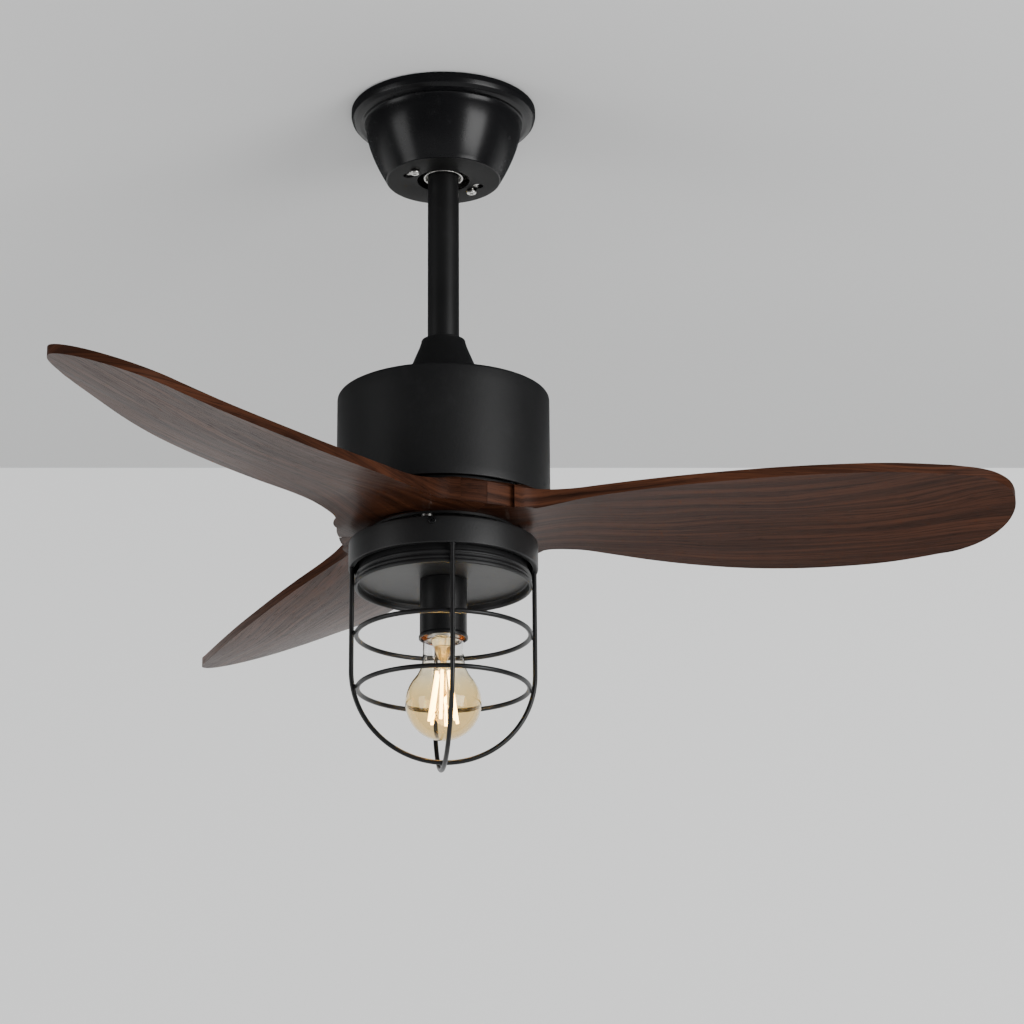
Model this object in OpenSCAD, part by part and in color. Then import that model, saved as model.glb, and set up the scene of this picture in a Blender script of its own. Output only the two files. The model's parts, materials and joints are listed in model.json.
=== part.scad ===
// Three-blade ceiling fan with a caged lamp, hung from a ball and socket on a downrod.
// +Z is up, the ceiling is z = 0, and the origin is the centre of the mounting bracket's top face.

/* [Canopy] */
// Radius of the canopy's rim at the ceiling
canopy_rim_r = 77.5; // [76:0.5:84]
// Depth of the rim
canopy_rim_h = 13; // [8:0.5:14]
// Radius of the bell just below the rim
bell_top_r = 65.5; // [64:0.5:70]
// Radius of the canopy's bottom disc
bell_bottom_r = 47.5; // [46:0.5:52]
// Height of the whole canopy
canopy_h = 63.5; // [60:0.5:66]
// Radius of the hole that the downrod swings in
canopy_hole_r = 22; // [20:0.5:24]
// Wall of the pressed canopy
canopy_wall = 1.6; // [1:0.1:2]
// Distance of the two canopy screws from the axis
canopy_screw_r = 31; // [30:0.5:33]
// Direction of the first canopy screw
canopy_screw_angle = 40; // [20:1:60]

/* [Mounting bracket] */
// Radius of the bracket's top plate
bracket_plate_r = 57; // [55:0.5:58]
// Sheet thickness of the bracket
bracket_sheet = 2.5; // [2:0.1:3]
// Distance between the two ceiling screws
ceiling_screw_pitch = 88.9; // [84:0.1:90]
// Width of a ceiling screw slot
ceiling_slot_w = 5; // [4:0.1:5.5]
// End-to-end length of a ceiling screw slot
ceiling_slot_l = 16; // [10:0.5:18]

/* [Hanger and downrod] */
// Radius of the hanger ball
ball_r = 22; // [20:0.5:23]
// Depth of the ball's centre below the ceiling
ball_depth = 32; // [30:0.5:34]
// Outside radius of the downrod
rod_r = 13; // [12:0.1:14]
// Wall of the downrod
rod_wall = 2; // [1.5:0.1:2.5]
// Depth of the coupling cover's top
cover_top = 208; // [195:1:212]
// Radius of the coupling cover at the motor
cover_bottom_r = 38; // [32:0.5:44]

/* [Motor] */
// Radius of the motor housing
housing_r = 86.8; // [84:0.1:90]
// Depth of the housing's top face
housing_top = 259; // [255:0.1:262]
// Depth of the housing's bottom edge
housing_bottom = 352.7; // [346:0.1:353]
// Outside radius of the hollow motor shaft
shaft_r = 9; // [8:0.1:10]
// Radius of the stator's poles
stator_r = 56; // [50:0.5:57]
// Number of stator poles
stator_poles = 12; // [9:3:12]
// Number of rotor magnets
magnet_count = 16; // [12:2:16]

/* [Blades] */
// Distance of a blade's tip from the axis
blade_tip_r = 458; // [452:1:465]
// Radius of the ring that the three blade roots form
hub_r = 84; // [82:0.5:86]
// Depth of the hub ring's top face
hub_top = 355.8; // [355:0.1:357]
// Depth of the hub ring's bottom face
hub_bottom = 374.9; // [372:0.1:376]
// Direction of the first blade
first_blade_angle = -5.5; // [-30:0.5:30]
// Pitch of a blade at its tip
tip_pitch = 18.8; // [12:0.1:20]

/* [Light kit] */
// Radius of the light ring
light_ring_r = 76.4; // [75:0.1:78]
// Depth of the light ring's top face
light_top = 384; // [383:0.1:385]
// Depth of the light ring's bottom edge
light_bottom = 406.1; // [404:0.1:408]
// Radius of the light pan
pan_r = 71.6; // [70:0.1:71.8]
// Depth of the light pan's lip
pan_bottom = 421; // [419:0.5:423]
// Outside radius of the lampholder
holder_r = 19; // [18.5:0.1:22]
// Depth of the lampholder's rim
holder_bottom = 463.4; // [461:0.1:465]

/* [Cage and bulb] */
// Diameter of the cage wire
wire_d = 3.9; // [3:0.1:4]
// Radius of the hoops' centre line
hoop_r = 73.7; // [73:0.1:74]
// Depth at which a hoop's straight wires turn into its half circle
hoop_turn = 491.1; // [486:0.1:494]
// Depth of the upper ring
upper_ring_depth = 460; // [452:0.5:468]
// Depth of the lower ring
lower_ring_depth = 504.4; // [496:0.1:506]
// How far the cage is turned about the fan's axis
cage_turn = 5.6; // [0:0.1:10]
// Radius of the bulb's globe
globe_r = 30.4; // [28:0.5:31]
// Depth of the globe's centre
globe_depth = 515.9; // [514:0.1:518]

/* [Hidden] */
$fn = 64;

gap = 0.3;              // clearance between faces that move past each other
running = 0.05;         // radial clearance of a running fit

satin_black = [0.03, 0.03, 0.032];
matte_black = [0.05, 0.05, 0.05];
bright_steel = [0.8, 0.8, 0.78];
walnut = [0.2, 0.11, 0.07];

// ---- shared shapes ----

// Ring between two radii and two depths below the ceiling
module ring_at(r_out, r_in, top, bottom) {
    translate([0, 0, -bottom]) difference() {
        cylinder(r = r_out, h = bottom - top);
        translate([0, 0, -1]) cylinder(r = r_in, h = bottom - top + 2);
    }
}

// Upright cylinder between two depths
module post_at(r, top, bottom) {
    translate([0, 0, -bottom]) cylinder(r = r, h = bottom - top);
}

// Block centred on the axis of its own direction, between two depths
module block_at(x0, x1, half_y, top, bottom) {
    translate([x0, -half_y, -bottom]) cube([x1 - x0, 2 * half_y, bottom - top]);
}

// Slot along X with round ends, cut downwards from a depth
module slot_cut(length, width, top, bottom) {
    for (side = [-1, 1]) {
        translate([side * (length - width) / 2, 0, -bottom]) cylinder(r = width / 2, h = bottom - top);
    }
    translate([-(length - width) / 2, -width / 2, -bottom]) cube([length - width, width, bottom - top]);
}

// Pan-head screw pointing up, its head's seat at z = 0
module pan_screw(shank_r, shank_l, head_r, head_h) {
    difference() {
        union() {
            cylinder(r = shank_r, h = shank_l);
            translate([0, 0, -head_h * 0.45]) cylinder(r = head_r, h = head_h * 0.45);
            translate([0, 0, -head_h]) cylinder(r1 = head_r * 0.72, r2 = head_r, h = head_h * 0.55);
        }
        for (turn = [0, 90]) rotate(turn) {
            translate([-head_r * 0.5, -head_r * 0.1, -head_h - 1]) cube([head_r, head_r * 0.2, 1 + head_h * 0.5]);
        }
    }
}

// ---- canopy and ceiling bracket ----

// Outside line of the bell at a given share of its height below the rim
bell_h = canopy_h - canopy_rim_h;
function bell_radius(t) = bell_top_r - (bell_top_r - bell_bottom_r) * pow(t, 1.6);
bell_steps = 12;
bell_outer = [for (i = [0 : bell_steps]) let (t = 0.97 * i / bell_steps)
    [bell_radius(t), -canopy_rim_h - 0.6 - t * (bell_h - 0.6)]];

module canopy_shell() {
    rim_in = canopy_rim_r - canopy_wall;
    rotate_extrude() polygon(concat(
        [[rim_in, 0], [canopy_rim_r - 0.6, 0], [canopy_rim_r, -0.8], [canopy_rim_r, -canopy_rim_h + 1.4],
         [canopy_rim_r - 1.2, -canopy_rim_h], [bell_top_r + 1.2, -canopy_rim_h]],
        bell_outer,
        [[bell_bottom_r, -canopy_h], [canopy_hole_r, -canopy_h],
         [canopy_hole_r, -canopy_h + canopy_wall], [bell_bottom_r - 1, -canopy_h + canopy_wall]],
        [for (i = [bell_steps : -1 : 0]) bell_outer[i] - [canopy_wall, -0.4]],
        [[bell_top_r - canopy_wall, -canopy_rim_h + canopy_wall], [rim_in, -canopy_rim_h + canopy_wall]]));
}

keyhole_sweep = 20;     // angle from a keyhole's narrow end to its round entry
module canopy_keyholes() {
    for (side = [0, 180]) rotate(canopy_screw_angle + side) {
        for (step = [0 : 2 : keyhole_sweep]) rotate(-step) {
            translate([canopy_screw_r, 0, -canopy_h - 1]) cylinder(r = 2.4, h = 4);
        }
        rotate(-keyhole_sweep) translate([canopy_screw_r, 0, -canopy_h - 1]) cylinder(r = 4.4, h = 4);
    }
}

module canopy() {
    color(satin_black) difference() {
        canopy_shell();
        canopy_keyholes();
    }
}

module canopy_screws() {
    color(bright_steel) for (side = [0, 180]) rotate(canopy_screw_angle + side) {
        translate([canopy_screw_r, 0, -canopy_h - 0.05]) pan_screw(1.9, 7, 4.1, 2.8);
    }
}

socket_top = ball_depth + 2;
socket_bottom = ball_depth + 15.5;
socket_r = 27;
leg_out = socket_r + bracket_sheet;
foot_bottom = canopy_h - canopy_wall;

module bracket_leg() {
    block_at(socket_r - 0.5, leg_out, 13, bracket_sheet - 0.5, foot_bottom);
    block_at(socket_r - 0.5, canopy_screw_r + 6, 8, foot_bottom - bracket_sheet, foot_bottom);
}

module mounting_bracket() {
    color(bright_steel) difference() {
        union() {
            post_at(bracket_plate_r, 0, bracket_sheet);
            ring_at(socket_r, 18, socket_top, socket_bottom);
            for (side = [0, 180]) rotate(canopy_screw_angle + side) bracket_leg();
        }
        translate([0, 0, -ball_depth]) sphere(r = ball_r + gap);
        translate([0, 0, -socket_bottom - 1]) cylinder(r = 17, h = 8);
        post_at(13, -1, bracket_sheet + 1);
        for (side = [-1, 1]) translate([side * ceiling_screw_pitch / 2, 0, 0]) {
            slot_cut(ceiling_slot_l, ceiling_slot_w, -1, bracket_sheet + 1);
        }
        for (side = [0, 180]) rotate(canopy_screw_angle + side) {
            translate([canopy_screw_r, 0, -foot_bottom - 1]) cylinder(r = 2, h = bracket_sheet + 5);
        }
    }
}

module receiver_module() {
    color([0.9, 0.9, 0.88]) rotate(canopy_screw_angle + 90) difference() {
        block_at(31, 47, 27, bracket_sheet, 26);
        translate([46, 0, -14]) rotate([0, 90, 0]) cylinder(r = 3, h = 2);
    }
}

module terminal_block() {
    color([0.85, 0.83, 0.75]) rotate(canopy_screw_angle - 90) difference() {
        block_at(33, 43, 14, bracket_sheet, 14);
        for (way = [-9, 0, 9]) translate([32, way, -9]) rotate([0, 90, 0]) cylinder(r = 1.8, h = 12);
    }
}

// ---- hanger, downrod and coupling ----

rod_top = ball_depth - 18;
rod_bottom = housing_top - 21;
rod_pin_r = 3;

module hanger_ball() {
    color([0.12, 0.12, 0.12]) difference() {
        translate([0, 0, -ball_depth]) sphere(r = ball_r);
        post_at(rod_r, 0, ball_depth + ball_r + 1);
        post_at(ball_r, 0, rod_top + 1);
        translate([-ball_r - 1, 0, -ball_depth]) rotate([0, 90, 0]) cylinder(r = rod_pin_r, h = 2 * ball_r + 2);
        translate([0, rod_r - 1, -ball_depth + 8]) rotate([-90, 0, 0]) cylinder(r = 2.1, h = ball_r);
    }
}

module cross_bolt(depth, half_l) {
    translate([-half_l, 0, -depth]) rotate([0, 90, 0]) cylinder(r = rod_pin_r, h = 2 * half_l);
}

module hanger_pin() {
    color(bright_steel) difference() {
        cross_bolt(ball_depth, 20);
        translate([-17.5, 0, -ball_depth - 5]) cylinder(r = 0.8, h = 10);
    }
}

module hanger_pin_clip() {
    color(bright_steel) translate([-17.5, 0, -ball_depth - 2.9]) cylinder(r = 0.75, h = 5.8);
}

module ball_set_screw() {
    color(bright_steel) translate([0, rod_r, -ball_depth + 8]) rotate([-90, 0, 0]) difference() {
        cylinder(r = 2.05, h = 6);
        translate([0, 0, 4.5]) cylinder(r = 1.1, h = 2, $fn = 6);
    }
}

yoke_bolt_depth = rod_bottom - 12;
module downrod() {
    color(satin_black) difference() {
        ring_at(rod_r, rod_r - rod_wall, rod_top, rod_bottom);
        for (depth = [ball_depth, yoke_bolt_depth]) {
            translate([-20, 0, -depth]) rotate([0, 90, 0]) cylinder(r = rod_pin_r, h = 40);
        }
    }
}

lead_angle = 100;       // direction of the lead passage beside the axis
lead_at = 6.5;
lead_colours = [[0.1, 0.1, 0.1], [0.9, 0.9, 0.9], [0.1, 0.35, 0.75]];
module supply_leads() {
    for (lead = [0 : 2]) color(lead_colours[lead]) rotate(lead_angle + (lead - 1) * 25) {
        translate([lead_at, 0, -rod_bottom - 8]) cylinder(r = 1, h = rod_bottom + 8 - rod_top, $fn = 24);
    }
}

yoke_top = rod_bottom - 24;
yoke_r = 17.5;
module motor_yoke() {
    color([0.35, 0.35, 0.36]) difference() {
        union() {
            ring_at(yoke_r, rod_r, yoke_top, rod_bottom);
            post_at(yoke_r, rod_bottom, housing_top - 2);
            post_at(30, housing_top - 6, housing_top);
        }
        translate([-20, 0, -yoke_bolt_depth]) rotate([0, 90, 0]) cylinder(r = rod_pin_r, h = 40);
        rotate(lead_angle) translate([lead_at, 0, -housing_top - 1]) cylinder(r = 4, h = 40);
        for (side = [-1, 1]) translate([0, 0, -yoke_top - 5]) rotate([side * 90, 0, 0]) {
            cylinder(r = 2.1, h = 30);
        }
        for (turn = [45 : 90 : 315]) rotate(turn) {
            translate([24, 0, -housing_top - 1]) cylinder(r = 2.1, h = 9);
        }
    }
}

module yoke_bolt() {
    color(bright_steel) difference() {
        cross_bolt(yoke_bolt_depth, yoke_r + 1.8);
        translate([-yoke_r - 0.65, 0, -yoke_bolt_depth - 5]) cylinder(r = 0.6, h = 10);
    }
}

module yoke_bolt_clip() {
    color(bright_steel) translate([-yoke_r - 0.65, 0, -yoke_bolt_depth - 4.5]) cylinder(r = 0.55, h = 9);
}

module yoke_set_screws() {
    color(bright_steel) for (side = [-1, 1]) translate([0, -side * rod_r, -yoke_top - 5]) {
        rotate([side * 90, 0, 0]) difference() {
            cylinder(r = 2.05, h = 5.5);
            translate([0, 0, 4]) cylinder(r = 1.1, h = 2, $fn = 6);
        }
    }
}

cover_wall = 1.2;
cover_seat_h = 3;
cover_top_r = 18.2;
module coupling_cover() {
    color(satin_black) rotate_extrude() polygon([
        [rod_r + 0.25, -cover_top], [cover_top_r - 1, -cover_top], [cover_top_r, -cover_top - 1],
        [cover_top_r + 1.7, -cover_top - 6.8], [cover_top_r + 5.6, -cover_top - 16.3],
        [cover_bottom_r, -housing_top + 0.05], [cover_bottom_r - 1.6, -housing_top + 0.05],
        [cover_top_r + 5.6 - cover_wall, -cover_top - 17], [cover_top_r + 1.7 - cover_wall, -cover_top - 7.4],
        [cover_top_r - cover_wall, -cover_top - cover_seat_h], [rod_r + 0.25, -cover_top - cover_seat_h]]);
}

// ---- motor ----

housing_wall = 1.8;
housing_fillet = 2.5;
module motor_housing() {
    shoulder = [for (turn = [0 : 15 : 90])
        [housing_r - housing_fillet + housing_fillet * sin(turn),
         -housing_top - housing_fillet + housing_fillet * cos(turn)]];
    color(matte_black) difference() {
        rotate_extrude($fn = 96) polygon(concat(
            [[shaft_r + 0.1, -housing_top]], shoulder,
            [[housing_r, -housing_bottom + 0.6], [housing_r - 0.6, -housing_bottom],
             [housing_r - housing_wall, -housing_bottom],
             [housing_r - housing_wall, -housing_top - housing_fillet],
             [housing_r - housing_fillet, -housing_top - 2.5], [shaft_r + 0.1, -housing_top - 2.5]]));
        for (turn = [45 : 90 : 315]) rotate(turn) {
            translate([24, 0, -housing_top - 5]) cylinder(r = 2.1, h = 9);
        }
        rotate(lead_angle) translate([lead_at, 0, -housing_top - 5]) cylinder(r = 4, h = 8);
    }
}

module housing_screws() {
    color(bright_steel) for (turn = [45 : 90 : 315]) rotate(turn) {
        translate([24, 0, -housing_top - 2.55]) pan_screw(2, 7, 3.6, 2.2);
    }
}

shaft_bottom = 394.4;
module hollow_shaft() {
    color([0.6, 0.6, 0.62]) union() {
        ring_at(shaft_r, shaft_r - 3, housing_top + 0.1, shaft_bottom);
        ring_at(14, shaft_r - 0.5, housing_top + 2.6, housing_top + 7);
    }
}

stack_top = 292;
stack_bottom = 322;
pole_step = 360 / stator_poles;
module stator_core() {
    color([0.45, 0.45, 0.47]) union() {
        ring_at(30, shaft_r, stack_top, stack_bottom);
        for (pole = [0 : stator_poles - 1]) rotate(pole * pole_step) {
            block_at(29, stator_r - 4, 3.5, stack_top, stack_bottom);
            intersection() {
                ring_at(stator_r, stator_r - 5, stack_top, stack_bottom);
                block_at(stator_r - 8, stator_r + 1, 10, stack_top, stack_bottom);
            }
        }
    }
}

module stator_windings() {
    color([0.72, 0.38, 0.18]) for (pole = [0 : stator_poles - 1]) rotate(pole * pole_step) {
        difference() {
            block_at(33, stator_r - 6, 7.2, stack_top - 4, stack_bottom + 4);
            block_at(32, stator_r - 5, 3.6, stack_top - 0.1, stack_bottom + 0.1);
        }
    }
}

board_depth = 276;
module driver_board() {
    color([0.1, 0.35, 0.2]) union() {
        ring_at(60, 20, board_depth, board_depth + 1.6);
        for (part = [0 : 4]) rotate(40 + part * 62) {
            translate([44, 0, -board_depth - 0.1]) cylinder(r = 5, h = 9);
        }
        rotate(10) block_at(30, 50, 9, board_depth - 8, board_depth + 0.1);
    }
}

bearing_r = 17;
magnet_out = stator_r + 5.6;
rotor_top = 282.5;
rotor_floor = 331;
module rotor_shell() {
    color([0.5, 0.5, 0.52]) difference() {
        union() {
            ring_at(magnet_out + 3, magnet_out, rotor_top + 2, rotor_floor + 4);
            ring_at(magnet_out + 1, bearing_r, rotor_floor, rotor_floor + 4);
            ring_at(bearing_r + 4, bearing_r, rotor_floor - 6, rotor_floor + 4);
        }
        for (turn = [0 : 60 : 300]) rotate(turn) {
            translate([45, 0, -rotor_floor - 5]) cylinder(r = 2.1, h = 7);
        }
    }
}

module rotor_cover() {
    color([0.5, 0.5, 0.52]) union() {
        ring_at(magnet_out + 3, bearing_r, rotor_top, rotor_top + 2);
        ring_at(bearing_r + 3, bearing_r, rotor_top, rotor_top + 6);
    }
}

magnet_step = 360 / magnet_count;
module rotor_magnets() {
    color([0.25, 0.25, 0.27]) for (pole = [0 : magnet_count - 1]) rotate(pole * magnet_step) {
        translate([0, 0, -stack_bottom - 1]) rotate_extrude(angle = magnet_step - 2) {
            translate([stator_r + 0.8, 0]) square([4.7, stack_bottom - stack_top + 2]);
        }
    }
}

module bearing(top) {
    color([0.75, 0.75, 0.77]) rotate_extrude() polygon([
        [shaft_r + running, -top], [12, -top], [12, -top - 0.8], [14, -top - 0.8], [14, -top],
        [bearing_r, -top], [bearing_r, -top - 6], [14, -top - 6], [14, -top - 5.2], [12, -top - 5.2],
        [12, -top - 6], [shaft_r + running, -top - 6]]);
}

module upper_bearing() {
    bearing(rotor_top);
}

module lower_bearing() {
    bearing(rotor_floor - 3);
}

// ---- blades ----

carrier_bottom = hub_top - 0.05;
carrier_r = 80;
carrier_screw_angles = [for (blade = [0 : 2], side = [-22, 22]) first_blade_angle + 120 * blade + side];
blade_screw_at = 55;
module blade_carrier() {
    color([0.2, 0.2, 0.2]) difference() {
        union() {
            ring_at(carrier_r, 21, carrier_bottom - 4, carrier_bottom);
            ring_at(50, 40, rotor_floor + 4, carrier_bottom - 3);
        }
        for (turn = [0 : 60 : 300]) rotate(turn) {
            translate([45, 0, -carrier_bottom - 1]) cylinder(r = 2.1, h = 24);
        }
        for (turn = carrier_screw_angles) rotate(turn) {
            translate([blade_screw_at, 0, -carrier_bottom - 1]) cylinder(r = 2.5, h = 7);
        }
    }
}

// Plan and section of a blade at stations along its length
blade_line = [
    // station, half width, pitch, thickness, depth of the mid plane, sideways shift of the middle
    [50, 66, 0.3, 17.8, 365.3, 0],
    [58, 60.3, 0.5, 17.6, 365.3, 0],
    [66, 53.6, 0.9, 17, 365.3, 0],
    [74, 49.6, 1.4, 16.2, 365.3, 0],
    [84, 47.8, 2.4, 14.8, 365.3, 0],
    [95, 48.4, 3.6, 12.6, 365.6, 0],
    [110, 50.5, 5.3, 10, 365.9, 0],
    [130, 54.2, 7.3, 8.8, 366.8, -0.1],
    [165, 60.6, 9.3, 8.3, 368.5, -0.2],
    [200, 65.1, 10.9, 8.1, 369.8, -0.3],
    [240, 67.9, 12.4, 8, 370.7, -0.4],
    [280, 68.3, 13.6, 7.9, 370.7, -0.3],
    [320, 65.5, 15, 7.8, 369.6, 0.3],
    [360, 60, 16.6, 7.7, 367.5, 1.7],
    [395, 53.3, 17.3, 7.6, 365.3, 2.9],
    [415, 48.4, 17.8, 7.5, 363.8, 3.4],
    [430, 42.8, 18.1, 7.4, 362.7, 3.1],
    [440, 36.6, 18.4, 7.3, 361.9, 2.2],
    [447, 30, 18.5, 7.2, 361.4, 1],
    [452, 23, 18.6, 7, 361, -0.4],
    [455.5, 15.6, 18.7, 6.6, 360.8, -1.6],
    [458, 6, 18.8, 6, 360.6, -2]
];
blade_scale = blade_tip_r / 458;
edge_round = 1.5;

// Eight corners of the blade's section at one station, counted round the edge
function blade_section(line) =
    let (
        half = line[1],
        thick = line[3] / 2,
        cut = min(edge_round, thick * 0.45, half * 0.3),
        angle = line[2] * tip_pitch / 18.8,
        outline = [[-half + cut, -thick], [half - cut, -thick], [half, -thick + cut], [half, thick - cut],
                   [half - cut, thick], [-half + cut, thick], [-half, thick - cut], [-half, -thick + cut]]
    )
    [for (p = outline) [line[0] * blade_scale, p[0] + line[5] + p[1] * sin(angle),
                        -line[4] - (p[0] + line[5]) * tan(angle) + p[1] * cos(angle)]];

function skin(count, side) = [for (i = [0 : count - 2], j = [0 : side - 1])
    let (a = i * side + j, b = i * side + (j + 1) % side)
    each [[a, a + side, b], [b, a + side, b + side]]];

module blade_plank() {
    count = len(blade_line);
    points = [for (line = blade_line) each blade_section(line)];
    start_cap = [[for (j = [0 : 7]) j]];
    end_cap = [[for (j = [7 : -1 : 0]) (count - 1) * 8 + j]];
    polyhedron(points = points, faces = concat(start_cap, skin(count, 8), end_cap));
}

module blade(number) {
    seam = 0.25;
    color(walnut) rotate(first_blade_angle - 120 * number) difference() {
        union() {
            translate([0, 0, -hub_bottom]) rotate(-60 + seam) rotate_extrude(angle = 120 - 2 * seam) {
                polygon([[24, 0], [hub_r - 1, 0], [hub_r, 1], [hub_r, hub_bottom - hub_top - 1],
                         [hub_r - 1, hub_bottom - hub_top], [24, hub_bottom - hub_top]]);
            }
            blade_plank();
        }
        for (side = [-22, 22]) rotate(side) {
            translate([blade_screw_at, 0, -hub_bottom - 1]) cylinder(r = 2.6, h = 24);
        }
    }
}

module blade_1() {
    blade(0);
}

module blade_2() {
    blade(1);
}

module blade_3() {
    blade(2);
}

clamp_sheet = 2;
module blade_clamp() {
    color([0.2, 0.2, 0.2]) difference() {
        ring_at(61, 24, hub_bottom + 0.05, hub_bottom + 0.05 + clamp_sheet);
        for (turn = carrier_screw_angles) rotate(turn) {
            translate([blade_screw_at, 0, -hub_bottom - 4]) cylinder(r = 2.6, h = 6);
        }
    }
}

module blade_screws() {
    color(bright_steel) for (turn = carrier_screw_angles) rotate(turn) {
        translate([blade_screw_at, 0, -hub_bottom - clamp_sheet - 0.1]) pan_screw(2.4, 23, 5, 2.8);
    }
}

// ---- light kit ----

ring_wall = 1.5;
flange_in = 67;         // inside radius of the pan's upright flange, within the ring
side_screw_angles = [for (turn = [0 : 120 : 240]) turn - 96.4];
module light_ring() {
    color(matte_black) difference() {
        rotate_extrude($fn = 96) polygon([
            [20, -light_top], [light_ring_r - 1, -light_top], [light_ring_r, -light_top - 1],
            [light_ring_r, -light_bottom + 0.6], [light_ring_r - 0.6, -light_bottom],
            [pan_r + 0.4, -light_bottom], [pan_r + 0.4, -light_bottom + 2], [light_ring_r - ring_wall, -light_bottom + 2],
            [light_ring_r - ring_wall, -light_top - ring_wall], [20, -light_top - ring_wall]]);
        for (turn = side_screw_angles) rotate(turn) {
            translate([68, 0, -light_top - 4]) rotate([0, 90, 0]) cylinder(r = 1.7, h = 12);
        }
        for (side = [-1, 1]) translate([side * 50, 0, -light_top - 3]) cylinder(r = 2.1, h = 5);
    }
}

module light_ring_screws() {
    color(matte_black) for (turn = side_screw_angles) rotate(turn) {
        translate([light_ring_r + 0.02, 0, -light_top - 4]) rotate([0, -90, 0]) pan_screw(1.6, 10, 3.2, 2);
    }
}

strap_top = light_top + ring_wall + 0.05;
module light_strap() {
    color(bright_steel) difference() {
        union() {
            block_at(-56, 56, 9, strap_top, strap_top + 2);
            post_at(20, strap_top, strap_top + 2);
            for (turn = side_screw_angles) rotate(turn) {
                block_at(15, flange_in - 0.5, 6, strap_top, strap_top + 2);
                block_at(flange_in - 2.5, flange_in - 0.5, 6, strap_top, strap_top + 10);
            }
        }
        post_at(shaft_r, strap_top - 1, strap_top + 5);
        for (turn = side_screw_angles) rotate(turn) {
            translate([60, 0, -light_top - 4]) rotate([0, 90, 0]) cylinder(r = 1.65, h = 12);
        }
        for (side = [-1, 1]) translate([side * 50, 0, -strap_top - 5]) cylinder(r = 2.1, h = 8);
    }
}

module shaft_nut() {
    color(bright_steel) difference() {
        translate([0, 0, -strap_top - 8.1]) cylinder(r = 15, h = 6, $fn = 6);
        post_at(shaft_r, strap_top, strap_top + 12);
    }
}

plate_depth = 414.4;
pan_wall = 1;
module light_pan() {
    lip = 1.4;
    color(matte_black) difference() {
        rotate_extrude($fn = 96) polygon([
            [flange_in, -light_top - 1.6], [flange_in + pan_wall, -light_top - 1.6],
            [flange_in + pan_wall, -light_bottom - 1], [pan_r - 2.6, -light_bottom - 1],
            [pan_r - 2, -light_bottom - 3.6], [pan_r - 1.2, -light_bottom - 4.4],
            [pan_r - 1.4, -light_bottom - 8.2], [pan_r - 0.6, -light_bottom - 9],
            [pan_r - 0.8, -pan_bottom + 3.6], [pan_r, -pan_bottom + 2.4],
            [pan_r, -pan_bottom + 0.8], [pan_r - 0.8, -pan_bottom],
            [pan_r - lip - 0.8, -pan_bottom], [pan_r - lip - 1.6, -pan_bottom + 1],
            [pan_r - lip - 1.8, -plate_depth], [12, -plate_depth],
            [12, -plate_depth + pan_wall], [pan_r - lip - 3.6, -plate_depth + pan_wall],
            [pan_r - lip - 3.6, -light_bottom - 2], [flange_in, -light_bottom - 2]]);
        for (turn = side_screw_angles) rotate(turn) {
            translate([60, 0, -light_top - 4]) rotate([0, 90, 0]) cylinder(r = 1.65, h = 10);
        }
    }
}

holder_wall = 1.2;
module lampholder_cover() {
    color(satin_black) rotate_extrude() polygon([
        [12, -plate_depth - 0.05], [holder_r - 0.8, -plate_depth - 0.05], [holder_r, -plate_depth - 0.85],
        [holder_r, -holder_bottom + 3], [holder_r + 0.8, -holder_bottom + 1.2],
        [holder_r + 0.8, -holder_bottom + 0.3], [holder_r + 0.5, -holder_bottom],
        [holder_r - 0.9, -holder_bottom], [holder_r - holder_wall, -holder_bottom + 3],
        [holder_r - holder_wall, -plate_depth - holder_wall], [12, -plate_depth - holder_wall]]);
}

contact_top = globe_depth + globe_r - 105;
module lampholder_insulator() {
    color([0.85, 0.82, 0.74]) union() {
        ring_at(holder_r - holder_wall - 0.1, 14.4, contact_top - 12, contact_top + 14);
        post_at(14.5, contact_top - 12, contact_top - 7);
    }
}

cap_top = contact_top + 3;
cap_bottom = contact_top + 26;
module lampholder_shell() {
    color([0.75, 0.5, 0.25]) rotate_extrude() polygon([
        [13.6, -contact_top + 4], [14.4, -contact_top + 4], [14.4, -cap_bottom + 11],
        [15.8, -cap_bottom + 8], [15.2, -cap_bottom + 8], [13.6, -cap_bottom + 11]]);
}

module lampholder_contact() {
    color([0.8, 0.6, 0.3]) union() {
        post_at(4, contact_top - 2.5, contact_top - 0.5);
        post_at(1.5, contact_top - 7, contact_top - 2);
    }
}

// ---- cage ----

wire_r = wire_d / 2;
hoop_top = light_bottom + 0.02;
module hoop(drop) {
    centre = hoop_turn + drop;
    color(satin_black) union() {
        for (side = [-1, 1]) translate([side * hoop_r, 0, -centre]) cylinder(r = wire_r, h = centre - hoop_top);
        translate([0, 0, -centre]) rotate([90, 180, 0]) {
            rotate_extrude(angle = 180, $fn = 96) translate([hoop_r, 0]) circle(r = wire_r, $fn = 24);
        }
    }
}

module cage_ring(depth) {
    below = max(0, depth - hoop_turn);
    reach = sqrt(hoop_r * hoop_r - below * below) - wire_d;
    color(satin_black) translate([0, 0, -depth]) {
        rotate_extrude($fn = 96) translate([reach, 0]) circle(r = wire_r, $fn = 24);
    }
}

module cage_hoop_side() {
    rotate(cage_turn) hoop(0);
}

module cage_hoop_front() {
    rotate(90 + cage_turn) hoop(wire_d);
}

module cage_ring_upper() {
    cage_ring(upper_ring_depth);
}

module cage_ring_lower() {
    cage_ring(lower_ring_depth);
}

// ---- bulb ----

neck_r = 16.6;
neck_top = cap_bottom - 3;
blend_r = 30;           // hollow curve that joins the neck to the globe
glass_wall = 0.9;

// The blend circle touches the neck line and the globe
blend_x = neck_r + blend_r;
blend_drop = sqrt(pow(globe_r + blend_r, 2) - blend_x * blend_x);
blend_depth = globe_depth - blend_drop;
meet_angle = atan2(blend_drop, blend_x);

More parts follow.
